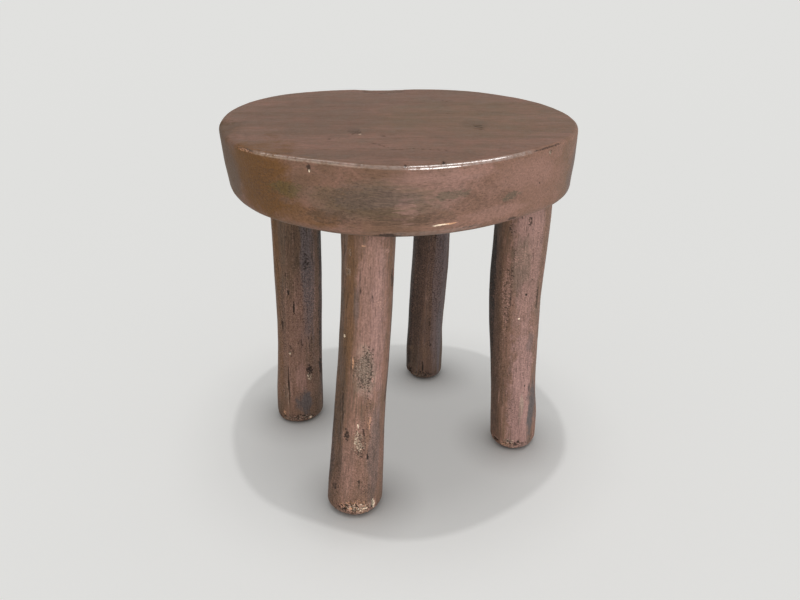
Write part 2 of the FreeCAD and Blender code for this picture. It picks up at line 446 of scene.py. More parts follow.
# colours are linear
woodTones = {
    "red": (0.228, 0.128, 0.096, 1),
    "brown": (0.165, 0.097, 0.065, 1),
    "rust": (0.150, 0.074, 0.027, 1),
    "tawny": (0.085, 0.046, 0.018, 1),
    "olive": (0.120, 0.096, 0.068, 1),
    "moss": (0.100, 0.086, 0.036, 1),
    "slate": (0.105, 0.087, 0.084, 1),
    "umber": (0.080, 0.052, 0.038, 1),
    "pitch": (0.026, 0.019, 0.016, 1),
    "rose": (0.310, 0.182, 0.152, 1),
    "bark": (0.112, 0.072, 0.048, 1),
    "mauve": (0.137, 0.112, 0.114, 1),
    "blush": (0.320, 0.195, 0.175, 1),
    "sand": (0.300, 0.235, 0.185, 1),
    "pink": (0.420, 0.250, 0.205, 1),
    "peach": (0.600, 0.330, 0.200, 1),
    "cream": (0.800, 0.660, 0.500, 1),
    "dry": (0.130, 0.092, 0.066, 1),
}
# what every piece of wood shares; relief is how much each part of the grain stands out
waxedWood = {
    "ior": 1.45, "bumpStrength": 0.7, "relief": {"lines": 0.4, "mottles": 0.8, "pores": 0.5},
    "mottleRoughness": 0.1, "dirtRoughness": 0.15, "ringShare": 0.45, "endCrackShare": 0.8,
    "polishRoughness": 0.15, "polishIor": 2.8,
}


def makeWood(name, look, marks):
    # old waxed wood: tones along the grain, the piece's own marks, then dirt with painted shade in the
    # hollows, bare ridges with a painted highlight, and end grain
    material = bpy.data.materials.new(name)
    material.use_nodes = True
    s = NodeSheet(material.node_tree)
    place = s.add("ShaderNodeTexCoord").outputs["Object"]
    straight = place
    if look["followsPole"]:
        straightAt = s.add("ShaderNodeAttribute", attribute_name="straightAt").outputs["Vector"]
        straight = s.add("ShaderNodeMapping", {"Vector": straightAt})
    drawn = s.add("ShaderNodeMapping", {"Vector": straight, "Scale": look["stretch"]})
    sizes = {label: look[label] for label in ("stretch", "band", "line", "cloud", "mottle", "seed")}
    grain = useGroup(s, shaderGroups["grain"], {"place": straight, **sizes})
    bands, lines, clouds, mottles, specks, pores = grain.outputs

    def grade(colour, share, label):
        return s.tint(share, colour, woodTones[label])

    first, second, third = look["tones"]
    colour = s.tint(s.ramp(s.blend(0.5, bands, clouds), 0.25, 0.75), woodTones[first], woodTones[second])
    colour = grade(colour, s.times(s.ramp(s.blend(0.4, lines, bands), 0.52, 0.8), look["streakShare"]), third)

    rough = s.blend(clouds, look["gloss"][0], look["gloss"][1])
    rough = s.plus(rough, s.times(mottles, waxedWood["mottleRoughness"]))
    crown = s.add("ShaderNodeAttribute", attribute_name="crown").outputs["Fac"]
    colour = grade(colour, s.times(s.ramp(crown, -0.95, -0.6, 1.0, 0.0), look["underShare"]), "dry")
    if look["followsPole"]:
        rings, cracks = useGroup(s, shaderGroups["endGrain"], {
            "straightPlace": straight, "ring": look["ring"]}).outputs
        foot = s.ramp(crown, -1.0, -0.97, 1.0, 0.0)
        colour = grade(colour, s.times(s.times(rings, foot), waxedWood["ringShare"]), "umber")
        colour = grade(colour, s.times(s.times(cracks, foot), waxedWood["endCrackShare"]), "pitch")

    for one in marks:
        if one["tint"]:
            mask = useGroup(s, shaderGroups["mark"], markInputs(one, place, straight, drawn))
            colour = grade(colour, s.times(mask, one["share"]), one["tint"])

    # brighter where the mottling and specks are, darker along lines and in pores
    shade = s.blend(mottles, 1.0 - look["mottleDepth"], 1.0 + look["mottleDepth"])
    shade = s.times(shade, s.blend(lines, 1.0 + look["lineDepth"], 1.0 - look["lineDepth"]))
    shade = s.times(shade, s.blend(specks, 1.0 - look["speckDepth"], 1.0 + look["speckDepth"]))
    shade = s.times(shade, s.blend(pores, 1.0, 1.0 - look["poreDepth"]))
    colour = s.tint(1.0, colour, shade, "MULTIPLY")

    hollow = s.add("ShaderNodeAttribute", attribute_name="hollow").outputs["Fac"]
    colour = grade(colour, s.times(hollow, look["crackShare"]), "pitch")
    cavity = s.add("ShaderNodeAttribute", attribute_name="cavity").outputs["Fac"]
    dirt, bare = useGroup(s, shaderGroups["wearAndPaintedLight"], {
        "cavity": cavity, "break": mottles, "dirtAt": look["dirtAt"], "bareAt": look["bareAt"]}).outputs
    # painted shade: the hollows darken towards pitch, partly dirt and partly the shade that gathers there
    colour = grade(colour, s.times(dirt, look["dirtAndShadeShare"]), "pitch")
    # painted highlight: the ridges lighten towards pink, partly bare wood and partly the light line along the
    # rim
    colour = grade(colour, s.times(bare, look["bareAndSheenShare"]), "pink")
    rough = s.plus(rough, s.times(dirt, waxedWood["dirtRoughness"]))

    rise = waxedWood["relief"]
    relief = s.plus(s.times(lines, rise["lines"]), s.times(s.blend(0.5, mottles, specks), rise["mottles"]))
    relief = s.minus(relief, s.times(pores, rise["pores"]))
    bump = s.add("ShaderNodeBump", {
        "Strength": waxedWood["bumpStrength"], "Distance": look["bump"], "Height": relief})
    shader = s.add("ShaderNodeBsdfPrincipled", {"Base Color": colour, "Roughness": rough, "Normal": bump})
    shader.inputs["IOR"].default_value = waxedWood["ior"]
    shader.inputs["Specular IOR Level"].default_value = look["specular"]
    if look["polish"]:
        # hands have polished parts of the rim and the lip
        coat = 0.0
        for one in look["polish"]:
            mask = useGroup(s, shaderGroups["mark"], markInputs(one, place, straight, drawn))
            coat = s.math("MAXIMUM", coat, s.times(mask, one["share"]))
        lean = s.math("ABSOLUTE", crown)
        rim = s.times(s.ramp(lean, 0.15, 0.4), s.ramp(lean, 0.86, 0.97, 1.0, 0.0))
        worn = s.times(rim, s.ramp(mottles, 0.15, 0.5, 0.35, 1.0))
        s.plug(s.times(worn, coat), shader.inputs["Coat Weight"])
        shader.inputs["Coat Roughness"].default_value = waxedWood["polishRoughness"]
        shader.inputs["Coat IOR"].default_value = waxedWood["polishIor"]
    s.plug(shader, s.add("ShaderNodeOutputMaterial").inputs["Surface"])
    return material


seatShape = {
    "around": 600, "rows": 48, "rings": 50,
    "footRound": 9.0 * mm, "headRound": 4.4 * mm, "footShare": 0.22, "headShare": 0.2, "smoothing": 10,
    "seed": 3.1, "stretch": (0.07, 1.0, 1.0),
    "waveSize": 70.0 * mm, "waveDepth": 0.7 * mm, "facetSize": 22.0 * mm, "facetDepth": 0.25 * mm,
    "grainSize": 4.0 * mm, "grainDepth": 0.15 * mm,
    "crackSize": 9.0 * mm, "crackDepth": 0.4 * mm, "crackShare": 0.66,
    "flats": [],
    "marks": [
        # the dip in the back rim
        mark((-13, 146, 352), (42, 24, 12), depth=1.3, ragged=0.0, grain=200, soft=0.3),
        # warm brown on the left of the side, partly painted warm light from the left; darker at both ends,
        # partly painted shade
        tone((-112, -112, 326), (54, 60, 48), "rust", 0.95, 16, ragged=0.4),
        tone((-150, -60, 326), (34, 56, 46), "rust", 0.7, 12),
        tone((-86, -136, 306), (60, 40, 16), "rust", 0.6, 12),
        tone((-152, -64, 328), (34, 66, 60), "bark", 0.8, 16),
        tone((-164, -20, 326), (22, 60, 50), "tawny", 0.85, 16),
        tone((156, -50, 312), (16, 40, 34), "slate", 0.5, 16),
        tone((104, -122, 322), (90, 80, 50), "red", 0.6, 30, ragged=0.3),
        tone((24, -158, 332), (64, 40, 24), "blush", 0.3, 20),
        # the grey-brown smudge in front, drawn out in fine strokes
        strokes((-20, -158, 321), (92, 34, 25), "olive", 0.4, 7, ragged=0.6),
        strokes((-30, -157, 323), (74, 30, 20), "moss", 0.16, 2.2, 0.8, soft=0.1),
        strokes((-24, -157, 320), (82, 30, 26), "umber", 0.44, 1.8, 0.5, soft=0.04),
        # pale rosy strokes, partly painted highlights
        strokes((8, -160, 318), (15, 16, 24), "rose", 0.5, 1.8, 0.55, soft=0.05),
        strokes((-20, -157, 325), (60, 28, 16), "slate", 0.25, 1.5, 0.72, soft=0.06),
        strokes((22, -154, 308), (70, 26, 9), "umber", 0.45, 1.7, 0.56, soft=0.04),
        strokes((-88, -131, 325), (26, 22, 9), "moss", 0.5, 2.2, 0.85, soft=0.12),
        strokes((-54, -148, 309), (44, 20, 11), "umber", 0.45, 1.7, 0.6, soft=0.04),
        strokes((42, -153, 327), (24, 16, 7), "olive", 0.7, 1.5, 0.62, soft=0.05),
        strokes((91, -126, 318), (15, 16, 6), "olive", 0.8, 1.5, 0.64, soft=0.05),
        strokes((70, -140, 322), (84, 50, 28), "umber", 0.4, 1.6, 0.44, soft=0.03),
        strokes((-110, -120, 322), (70, 60, 34), "umber", 0.4, 1.6, 0.42, soft=0.03),
        # rosy patches between, partly painted highlights
        strokes((50, -150, 343), (74, 24, 7), "rose", 0.45, 8),
        strokes((84, -134, 306), (60, 34, 9), "rose", 0.35, 6),
        strokes((104, -116, 332), (60, 50, 18), "rose", 0.25, 8),
        # drying cracks and tone round the sides and the back
        dryingCrack((166, 22, 326), (5, 1.0, 17), depth=0.9, onPole=False),
        dryingCrack((-165, 34, 322), (6, 1.1, 19), depth=1.0, onPole=False),
        dryingCrack((52, 154, 322), (34, 8, 1.0), onPole=False),
        mark((4, 158, 330), (9, 8, 7), "umber", 0.7, 2.4, 0.7, 0.5),
        strokes((110, 110, 322), (70, 60, 34), "umber", 0.5, 0.9, 0.5, soft=0.05),
        strokes((-70, 140, 320), (90, 60, 34), "umber", 0.5, 1.0, 0.55, soft=0.05),
        strokes((20, 156, 316), (70, 30, 20), "olive", 0.5, 7),
        # nicks in the side
        mark((-66.8, -141, 345), (2.2, 4, 4.4), "umber", 0.55, depth=0.6),
        mark((-66.4, -141.3, 342.6), (1.2, 3, 1.8), "cream", 0.95),
        mark((125, -99, 345.5), (4.5, 5, 4), "sand", 0.9, 1.5, 0.5, 0.3),
        mark((125, -99, 345.5), (3.6, 5, 3), "cream", 0.9, 1.5, 0.45),
        # notches and crumbs along the rim
        mark((35, -151.6, 351.6), (1.4, 5, 3), "pitch", 0.7, depth=0.8),
        mark((6, -159, 351.6), (1.2, 4, 3), "pitch", 0.6, depth=0.7),
        mark((-121, -103, 349.4), (22, 20, 2.0), "peach", 0.9, 1.5, 0.48, 0.3),
        mark((-119, -104, 350), (24, 22, 1.8), "pitch", 0.65, 1.8, 0.48, 0.4),
        mark((122, -99, 349.8), (36, 36, 1.3), "pitch", 0.7, 1.9, 0.55, 0.3),
        # knots, a scratch and strokes on top
        mark((-35, -54, 352), (9, 14, 3), "umber", 0.55, 2.0, 0.46, 0.3),
        mark((-31, -62, 352), (2.2, 4.5, 3), "cream", 0.6, 1.5, 0.45),
        tone((-38, -46, 352), (10, 16, 3), "umber", 0.35, 4),
        mark((72, -34, 352), (12, 16, 3), "umber", 0.5, 2.2, 0.46, 0.3),
        tone((70, -20, 352), (15, 26, 3), "umber", 0.3, 4),
        mark((-14, -98, 352), (16, 1.3, 3), "umber", 0.5, depth=0.2, turn=-47),
        mark((24, -112, 352), (26, 1.2, 3), "umber", 0.4, depth=0.2, turn=-12, cover=0.8),
        mark((92, 30, 352), (24, 1.4, 3), "umber", 0.35, depth=0.2, turn=-24, cover=0.7),
        # quiet changes of tone on top
        tone((70, 10, 352), (110, 110, 9), "moss", 0.22, 16),
        tone((-80, 10, 352), (90, 110, 9), "bark", 0.35, 12),
        tone((-50, -112, 352), (120, 34, 9), "red", 0.25, 9),
        tone((-20, -128, 352), (120, 22, 9), "bark", 0.35, 6),
        tone((0, 104, 352), (170, 70, 9), "bark", 0.32, 14),
        # a painted highlight on the lower lip, drawn as a pale streak, and painted shadow in the dark gaps
        # over two of the legs
        mark((40, -151, 303.2), (16, 8, 1.2), "peach", 0.95, 1.6, 0.8, along=True),
        mark((33, -153, 302.8), (13, 8, 1.0), "cream", 1.0, 1.4, 0.6, along=True),
        mark((-7, -154, 295.6), (16, 10, 4), "pitch", 0.85, 3, 0.8, 0.5, soft=0.1),
        mark((68, -146, 298), (30, 12, 1.5), "pitch", 0.6, 2, 0.62, along=True),
        mark((94, -119, 296.4), (8, 8, 2.4), "pitch", 0.7, 3, 0.7, 0.4, soft=0.1),
    ],
}
seatLook = {
    "followsPole": False, "stretch": (0.07, 1.0, 1.0), "seed": 0.4,
    "band": 12.0 * mm, "line": 1.5 * mm, "cloud": 30.0 * mm, "mottle": 3.0 * mm,
    "tones": ("brown", "red", "olive"), "streakShare": 0.3,
    "mottleDepth": 0.06, "lineDepth": 0.09, "poreDepth": 0.25, "speckDepth": 0.07,
    "gloss": (0.42, 0.56), "bump": 0.3 * mm, "specular": 0.11,
    "polish": [
        tone((50, -150, 352), (92, 60, 30), None, 1.0, 30),
        tone((-60, -140, 352), (110, 60, 30), None, 0.55, 30),
        tone((30, -152, 298), (70, 40, 20), None, 0.3, 10),
    ],
    "underShare": 0.8, "crackShare": 0.6, "dirtAt": 0.2, "bareAt": 0.5, "dirtAndShadeShare": 0.6, "bareAndSheenShare": 0.3,
}
wedgeLook = {**seatLook, "seed": 5.0, "stretch": (1.0, 1.0, 0.12), "band": 5.0 * mm, "cloud": 15.0 * mm,
             "polish": None}

# what the four legs share
legShape = {
    "around": 144, "rows": 300, "rings": 10,
    "footRound": 9.5 * mm, "headRound": 1.2 * mm, "footShare": 0.05, "headShare": 0.01, "smoothing": 40,
    "stretch": (1.0, 1.0, 0.07),
    "waveSize": 45.0 * mm, "waveDepth": 0.7 * mm, "facetSize": 15.0 * mm, "facetDepth": 0.35 * mm,
    "grainSize": 2.4 * mm, "grainDepth": 0.22 * mm,
    "crackSize": 8.0 * mm, "crackDepth": 0.5 * mm, "crackShare": 0.6,
}
legLook = {
    "followsPole": True, "stretch": (1.0, 1.0, 0.06),
    "band": 8.0 * mm, "line": 1.5 * mm, "cloud": 30.0 * mm, "mottle": 2.4 * mm, "ring": 2.2 * mm,
    "tones": ("brown", "red", "olive"), "streakShare": 0.5,
    "mottleDepth": 0.13, "lineDepth": 0.14, "poreDepth": 0.3, "speckDepth": 0.12,
    "gloss": (0.38, 0.54), "bump": 0.5 * mm, "specular": 0.16, "polish": None,
    "underShare": 0.7, "crackShare": 0.6, "dirtAt": 0.12, "bareAt": 0.3, "dirtAndShadeShare": 0.7, "bareAndSheenShare": 0.4,
}
frontLeg = {
    "seed": 11.0,
    "flats": [hewnFlat(-150, 22.4, 60, 292), hewnFlat(-80, 22.6, 110, 292)],
    "marks": [
        # dark olive on the left, warm brown beside it, rosy down the middle and slate on the right
        strokes((-23, -8, 150), (13, 26, 220), "bark", 0.7, 5),
        strokes((-14, -20, 225), (8, 12, 110), "rust", 0.5, 5),
        strokes((-20, -12, 90), (9, 16, 80), "rust", 0.45, 4),
        tone((6, -24, 220), (19, 13, 110), "rose", 0.65),
        tone((14, -21, 200), (11, 12, 120), "blush", 0.5),
        # painted shade: dark bands down both edges of the pole, partly darker wood
        tone((-28, 2, 150), (7, 24, 260), "pitch", 0.9),
        tone((28, 2, 150), (6, 22, 260), "pitch", 0.6),
        strokes((16, -18, 70), (9, 14, 80), "slate", 0.6, 4),
        tone((-8, -24, 60), (10, 10, 60), "rose", 0.35),
        strokes((-7, -24, 222), (4, 6, 40), "slate", 0.5, 5),
        # painted shade under the seat: a dark ring round the top of the leg
        tone((0, 0, 294), (60, 60, 8), "umber", 0.6, 5),
        mark((-19, -14, 150), (9, 16, 200), "umber", 0.6, 1.5, 0.52, 0.3, along=True, onPole=True, soft=0.08),
        mark((0, 0, 50), (80, 80, 120), "umber", 0.45, 1.3, 0.46, 0.15, onPole=True),
        mark((0, 0, 40), (80, 80, 120), "pink", 0.35, 1.2, 0.4, onPole=True),
        mark((6, 24, 190), (4, 6, 6), "umber", 0.7, 2, 0.8, 0.8, onPole=True),
        dryingCrack((24, 4, 96), (5, 1.2, 26)),
        *wornFoot(),
        # small chips near the top
        mark((-27, -132, 277.5), (2.6, 4, 1.0), "peach", 0.7),
        mark((-39, -127, 269), (2.4, 5, 6), "sand", 0.8, 1.3, 0.42),
        mark((-41, -126, 253), (4.6, 5, 10), "sand", 0.8, 1.3, 0.42, 0.3),
        mark((-7, -126, 271), (3.4, 5, 4), "pink", 0.8, 1.4, 0.5),
        mark((-14, -130, 225), (11, 7, 12), "pink", 0.7, 1.6, 0.4, 0.2),
        mark((-45.7, -127, 191.4), (1.1, 4, 2.2), "cream", 0.9),
        mark((-3.4, -119, 241), (1.8, 5, 14), "pitch", 0.7, depth=0.4),
        # the crackled patch
        tone((-29, -135, 160), (15, 10, 34), "sand", 0.35, 6, onPole=False),
        mark((-29, -135, 158), (14, 10, 36), "umber", 0.7, 1.5, 0.6, 0.45, soft=0.07),
        mark((-28, -135, 158), (14, 10, 36), "sand", 0.75, 1.2, 0.47, soft=0.06),
        mark((-38.5, -134, 169), (1.2, 5, 10), "peach", 0.75, 1.4, 0.6, along=True),
        mark((-22, -135, 150), (2.0, 5, 4), "pink", 0.85),
        # lines, chips and pits down the face
        mark((-50, -131, 121), (1.3, 5, 30), "umber", 0.8, 5, depth=0.5, along=True),
        mark((-53.5, -129, 108), (1.0, 5, 34), "umber", 0.7, 5, depth=0.3, along=True),
        mark((-24, -136.5, 120), (6, 7, 44), "pink", 0.75, 1.6, 0.46, 0.2),
        mark((-32, -139, 92), (17, 8, 44), "pink", 0.75, 1.5, 0.38),
        mark((-25, -137, 106), (2.8, 5, 17), "peach", 0.8, 1.8, 0.62, along=True, soft=0.08),
        mark((-35.6, -138, 104), (1.1, 5, 4.5), "cream", 0.9, 2, 0.7),
        mark((-35.5, -139, 86), (9, 6, 22), "cream", 0.9, 1.4, 0.39, 0.3),
        mark((-34, -139, 84), (11, 6, 24), "umber", 0.7, 1.5, 0.44, 0.3),
        mark((-47, -136, 93), (5, 6, 12), "pitch", 0.7, 2.0, 0.5, 0.6),
        mark((-27.6, -138.6, 70), (1.3, 5, 5), "pitch", 0.8, depth=0.7),
        mark((-30.5, -138.5, 97), (1.4, 5, 8), "pitch", 0.7, depth=0.5),
        mark((-36, -142, 43.5), (2.0, 5, 2.6), "umber", 0.7, depth=0.5),
        mark((-61, -133, 31), (5, 8, 7), "pitch", 0.6, 2.4, 0.55, 0.3),
        mark((-30, -139, 32), (14, 8, 14), "umber", 0.6, 1.6, 0.45, 0.2),
        # the worn foot
        mark((-41, -140, 13), (26, 16, 11), "peach", 0.9, 2.4, 0.48, 0.9),
        mark((-43, -140, 11), (28, 16, 12), "pitch", 0.9, 2.3, 0.46, 0.9),
        mark((-38, -141, 11), (24, 14, 9), "cream", 1.0, 2.2, 0.4),
        mark((-23.4, -137, 13.5), (2.8, 6, 8), "cream", 1.0, 4, depth=0.9),
        mark((-44, -142, 12), (4, 6, 1.6), "peach", 0.9, 4),
    ],
}
rightLeg = {
    "seed": 23.0,
    "flats": [hewnFlat(-38, 22.3, 0, 70, 24), hewnFlat(-100, 23.2, 0, 50)],
    "marks": [
        # dark left edge of painted shade, partly darker wood, and a rosy front
        tone((-26, -7, 150), (8, 26, 260), "umber", 0.75),
        tone((-30, 0, 150), (5, 26, 260), "pitch", 1.0),
        tone((3, -25, 220), (24, 13, 130), "blush", 0.65),
        tone((5, -24, 80), (23, 14, 120), "blush", 0.95),
        # painted shade under the seat: a dark ring round the top of the leg
        tone((0, 0, 294), (60, 60, 9), "umber", 0.6, 5),
        strokes((120, -44, 222), (18, 12, 44), "olive", 0.55, 5, onPole=False),
        mark((109, -39, 190), (8, 10, 70), "umber", 0.7, 1.5, 0.54, 0.4, soft=0.07),
        mark((107, -39, 190), (9, 10, 76), "pink", 0.7, 1.4, 0.42),
        mark((0, 0, 150), (80, 80, 220), "umber", 0.45, 1.3, 0.45, 0.15, onPole=True),
        mark((0, 0, 150), (80, 80, 220), "pink", 0.35, 1.2, 0.38, onPole=True),
        mark((20, 14, 150), (4, 5, 5), "umber", 0.7, 2, 0.8, 0.8, onPole=True),
        dryingCrack((-4, 25, 70), (1.1, 5, 34)),
        *wornFoot(),
        mark((124.5, -43, 266), (3.4, 6, 8), "umber", 0.7, 1.3, 0.5, 0.4),
        mark((107, -40, 257), (6, 7, 10), "umber", 0.65, 1.3, 0.48, 0.3),
        mark((119, -44, 229), (18, 8, 24), "pink", 0.7, 1.3, 0.36),
        mark((126.3, -42, 190), (1.4, 5, 1.8), "pitch", 0.8, depth=0.6),
        mark((121, -43, 164), (1.3, 5, 1.4), "cream", 0.85),
        tone((135.5, -37, 136), (6, 9, 18), "slate", 0.45, 3, onPole=False),
        mark((139, -34, 184), (1.5, 6, 17), "umber", 0.7, 5, depth=0.3, along=True),
        mark((107.8, -34.5, 67), (1.1, 5, 14), "pink", 0.5, 4, along=True),
        # the hewn face at the foot: pale along its edge, grey on its far side
        mark((131.2, -40.5, 54), (3.2, 6, 30), "sand", 0.6, 4, along=True, ragged=0.3, soft=0.15),
        tone((126, -42, 34), (14, 9, 40), "blush", 0.6, onPole=False),
        tone((145, -32, 44), (12, 15, 54), "slate", 1.0, onPole=False),
        mark((121, -41, 11), (10, 9, 8), "cream", 0.8, 1.6, 0.4, 0.5),
        mark((126, -41, 9), (24, 14, 9), "umber", 0.8, 1.9, 0.47, 0.6),
        mark((118, -41, 8), (22, 14, 8), "peach", 0.6, 1.5, 0.38),
        mark((104, -31, 6), (8, 10, 10), "umber", 0.5, depth=2.6),
    ],
}
backLeg = {
    "seed": 37.0,
    # the back leg's darker base tones are painted shade, as it stands in the seat's shade
    "look": {"tones": ("umber", "bark", "mauve"), "bareAndSheenShare": 0.1},
    "flats": [hewnFlat(-128, 20.2, 30, 292), hewnFlat(-76, 20.2, 60, 292)],
    "marks": [
        # painted shade: dark edges and darkened patches on the front, as the leg stands in the seat's shade;
        # a grey front, partly painted cool light
        tone((-14, -14, 165), (13, 22, 260), "umber", 0.8),
        tone((-23, -4, 165), (6, 26, 260), "pitch", 1.0),
        tone((-12, -16, 190), (12, 18, 180), "pitch", 0.35),
        tone((22, 108, 178), (10, 12, 46), "pitch", 0.4, onPole=False),
        strokes((12, -16, 170), (15, 16, 260), "mauve", 1.0, 5),
        tone((24, 4, 165), (6, 22, 260), "pitch", 0.6),
        # painted shade under the seat: a dark ring round the top of the leg
        tone((0, 0, 296), (60, 60, 10), "pitch", 0.5, 5),
        strokes((0, -20, 90), (20, 14, 150), "red", 0.25, 5),
        mark((0, 0, 150), (80, 80, 220), "pitch", 0.5, 1.4, 0.44, 0.2, onPole=True),
        mark((0, 0, 150), (80, 80, 220), "rose", 0.35, 1.2, 0.38, onPole=True),
        mark((10, 19, 120), (4, 5, 6), "pitch", 0.7, 2, 0.8, 0.8, onPole=True),
        dryingCrack((-19, 10, 220), (5, 1.0, 30)),
        *wornFoot(0.5, 0.38),
        mark((45, 98, 195), (3, 5, 9), "pitch", 0.7, 1.6, 0.5, 0.5),
        mark((36, 99.5, 118), (3, 6, 15), "pink", 0.6, 1.4, 0.42),
        mark((40, 101, 80), (3.4, 6, 13), "pitch", 0.6, 1.7, 0.45, 0.4),
        mark((41.6, 102.4, 51), (2.2, 5, 3), "pitch", 0.7, depth=0.4),
        mark((32, 102.5, 20), (1.4, 6, 13), "pitch", 0.8, depth=0.8),
        mark((34, 103, 10), (20, 12, 9), "pitch", 0.7, 1.9, 0.46, 0.5),
        mark((13, 113, 5), (9, 12, 13), "umber", 0.5, depth=3.0),
    ],
}
leftLeg = {
    "seed": 51.0, "footRound": 6.5 * mm,
    # the left leg's darker base tones are partly painted shade
    "look": {"tones": ("bark", "brown", "olive")},
    "flats": [hewnFlat(-128, 24.2, 40, 292, 40), hewnFlat(-65, 24.0, 90, 292, 40)],
    "marks": [
        # dark right edge of painted shade; grey and rusty front, the grey partly a painted sheen
        tone((28, 2, 160), (7, 22, 260), "pitch", 1.0),
        strokes((15, -19, 180), (14, 16, 110), "mauve", 0.85, 4),
        tone((-21, -14, 160), (8, 16, 240), "rust", 0.6),
        strokes((0, -25, 80), (28, 16, 140), "red", 0.6, 5),
        # painted shade under the seat: a dark ring round the top of the leg
        tone((0, 0, 296), (60, 60, 12), "pitch", 0.5, 5),
        mark((0, 0, 150), (80, 80, 220), "pitch", 0.4, 1.5, 0.41, 0.15, onPole=True),
        mark((0, 0, 120), (80, 80, 220), "pink", 0.4, 1.3, 0.38, onPole=True),
        mark((-8, 25, 130), (4, 6, 7), "pitch", 0.7, 2, 0.8, 0.8, onPole=True),
        dryingCrack((-25, 4, 210), (5, 1.1, 30)),
        *wornFoot(),
        mark((-93, 15, 200), (7, 8, 16), "pitch", 0.6, 2.0, 0.5, 0.4),
        mark((-110, 12, 215), (14, 10, 30), "umber", 0.5, 2, 0.5, along=True),
        mark((-115, 12, 167), (1.8, 5, 4.5), "pitch", 0.8, depth=0.7),
        mark((-110, 12, 150), (2.0, 5, 14), "pitch", 0.8, 2.2, 0.65, 0.6),
        mark((-116.8, 12.8, 187), (1.3, 5, 3.2), "pitch", 0.7, depth=0.5),
        mark((-125, 17.5, 126), (2.2, 6, 10), "umber", 0.8, 2, 0.75, 0.4),
        mark((-118, 13, 92.5), (2.2, 5, 3.2), "cream", 0.9, 1.5, 0.6),
        mark((-117, 13, 96), (8, 7, 14), "umber", 0.6, 1.6, 0.45, 0.3),
        tone((-107, 13, 62), (9, 9, 26), "rose", 0.6, onPole=False),
        mark((-96.4, 17, 69), (9, 8, 12), "pitch", 0.75, 2.4, 0.62, 0.8),
        mark((-98, 15, 60), (6, 6, 10), "cream", 0.85, 1.6, 0.42, 0.4),
        mark((-86.5, 29, 68), (3.4, 9, 15), "pitch", 0.7, 3, 0.8, 0.6),
        mark((-122.5, 13, 52), (2.0, 6, 36), "pitch", 0.85, 4, 0.55, 0.8, along=True),
        mark((-124, 13, 42), (4, 6, 40), "cream", 0.6, 1.6, 0.38, along=True),
        tone((-104, 12.6, 30), (14, 10, 21), "slate", 0.95, 4, onPole=False),
        mark((-112, 14, 8), (26, 18, 9), "pitch", 0.75, 2.0, 0.46, 0.6),
        mark((-112, 14, 8), (24, 16, 8), "sand", 0.7, 1.6, 0.38),
        mark((-100, 15.7, 6.4), (2.6, 6, 2.2), "cream", 0.9),
        mark((-129, 14.7, 13), (3.4, 6, 5), "peach", 0.85, 1.6, 0.5),
    ],
}


def cutPiece(name, node, shape, axisFoot, axisHead, material):
    tree = makePieceTree(name, shape)
    piece = bpy.data.objects.new(name, bpy.data.meshes.new(name))
    bpy.context.scene.collection.objects.link(piece)
    modifier = piece.modifiers.new("cut", "NODES")
    modifier.node_group = tree
    low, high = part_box(node)
    values = {
        **shape, "guide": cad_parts[node], "material": material, "axisFoot": axisFoot,
        "axisHead": axisHead, "reach": 1.0, "low": low, "high": Vector((*high.xy, axisHead[2]))}
    for item in tree.interface.items_tree:
        if item.in_out == "INPUT":
            modifier[item.identifier] = values[item.name]
    bpy.context.view_layer.update()
    evaluated = piece.evaluated_get(bpy.context.evaluated_depsgraph_get())
    mesh = bpy.data.meshes.new_from_object(evaluated)
    piece.modifiers.clear()
    piece.data = mesh
    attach(piece, "root")
    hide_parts(node)
    print(name, "cut:", len(mesh.polygons), "faces")
    return piece


def poleEnds(node, shoulder):
    # middles of a pole's foot and of its shoulder
    points = [v.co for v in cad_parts[node].data.vertices]
    ends = []
    for low, high, z in ((0.0, 1 * mm, 0.0), (shoulder - 2 * mm, shoulder + 0.01 * mm, shoulder)):
        ring = [p for p in points if low <= p.z < high]
        ends.append((sum(p.x for p in ring) / len(ring), sum(p.y for p in ring) / len(ring), z))
    return ends


low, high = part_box("seat")
seatWood = makeWood("seatWood", seatLook, seatShape["marks"])
stool = [cutPiece("seatSlab", "seat", seatShape, (0, 0, low.z), (0, 0, high.z), seatWood)]

wedgeWood = makeWood("wedgeWood", wedgeLook, [])
for side, leg in (("front", frontLeg), ("right", rightLeg), ("back", backLeg), ("left", leftLeg)):
    look = {**legLook, "seed": leg["seed"], **leg.get("look", {})}
    legWood = makeWood(side + "LegWood", look, leg["marks"])
    foot, head = poleEnds(side + "_leg", low.z)
    stool.append(cutPiece(side + "Pole", side + "_leg", {**legShape, **leg}, foot, head, legWood))
    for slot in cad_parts[side + "_wedge"].material_slots:
        slot.material = wedgeWood

studio = {
    "backdrop": (0.752, 0.752, 0.737, 1),
    "airLevel": 0.33,         # with the overhead lights and the floor's glow it adds up to 1 on the floor
    "floorGlow": 0.33,
    "overhead": {"height": 2.6, "ahead": 0.09, "size": 0.06, "level": 0.15, "colour": (1, 1, 1)},
    "softbox": {"height": 2.6, "ahead": 0.05, "size": 1.0, "level": 0.19, "colour": (1, 1, 1)},
    "key": {"from": (0.45, -0.85, 0.30), "spread": 40, "level": 0.72, "colour": (1, 0.97, 0.95)},
    "fill": {"from": (-0.85, -0.45, 0.2), "spread": 60, "level": 0.16, "colour": (1, 0.75, 0.45)},
    "strip": {"at": (0.75, -0.05, 2.0), "along": (1.0, 0.15, -0.15), "aim": (0, 0, 0.35),
              "long": 1.5, "wide": 0.40, "level": 0.34, "colour": (1, 0.95, 0.94)},
    "glint": {"at": (-1.0, 0.12, 1.75), "along": (1.0, -0.2, 0.35), "aim": (0, 0, 0.35),
              "long": 1.2, "wide": 0.22, "level": 0.08, "colour": (1, 0.82, 0.7)},
    "paintedContactShadow": {"reach": 0.05, "depth": 2.0},
}


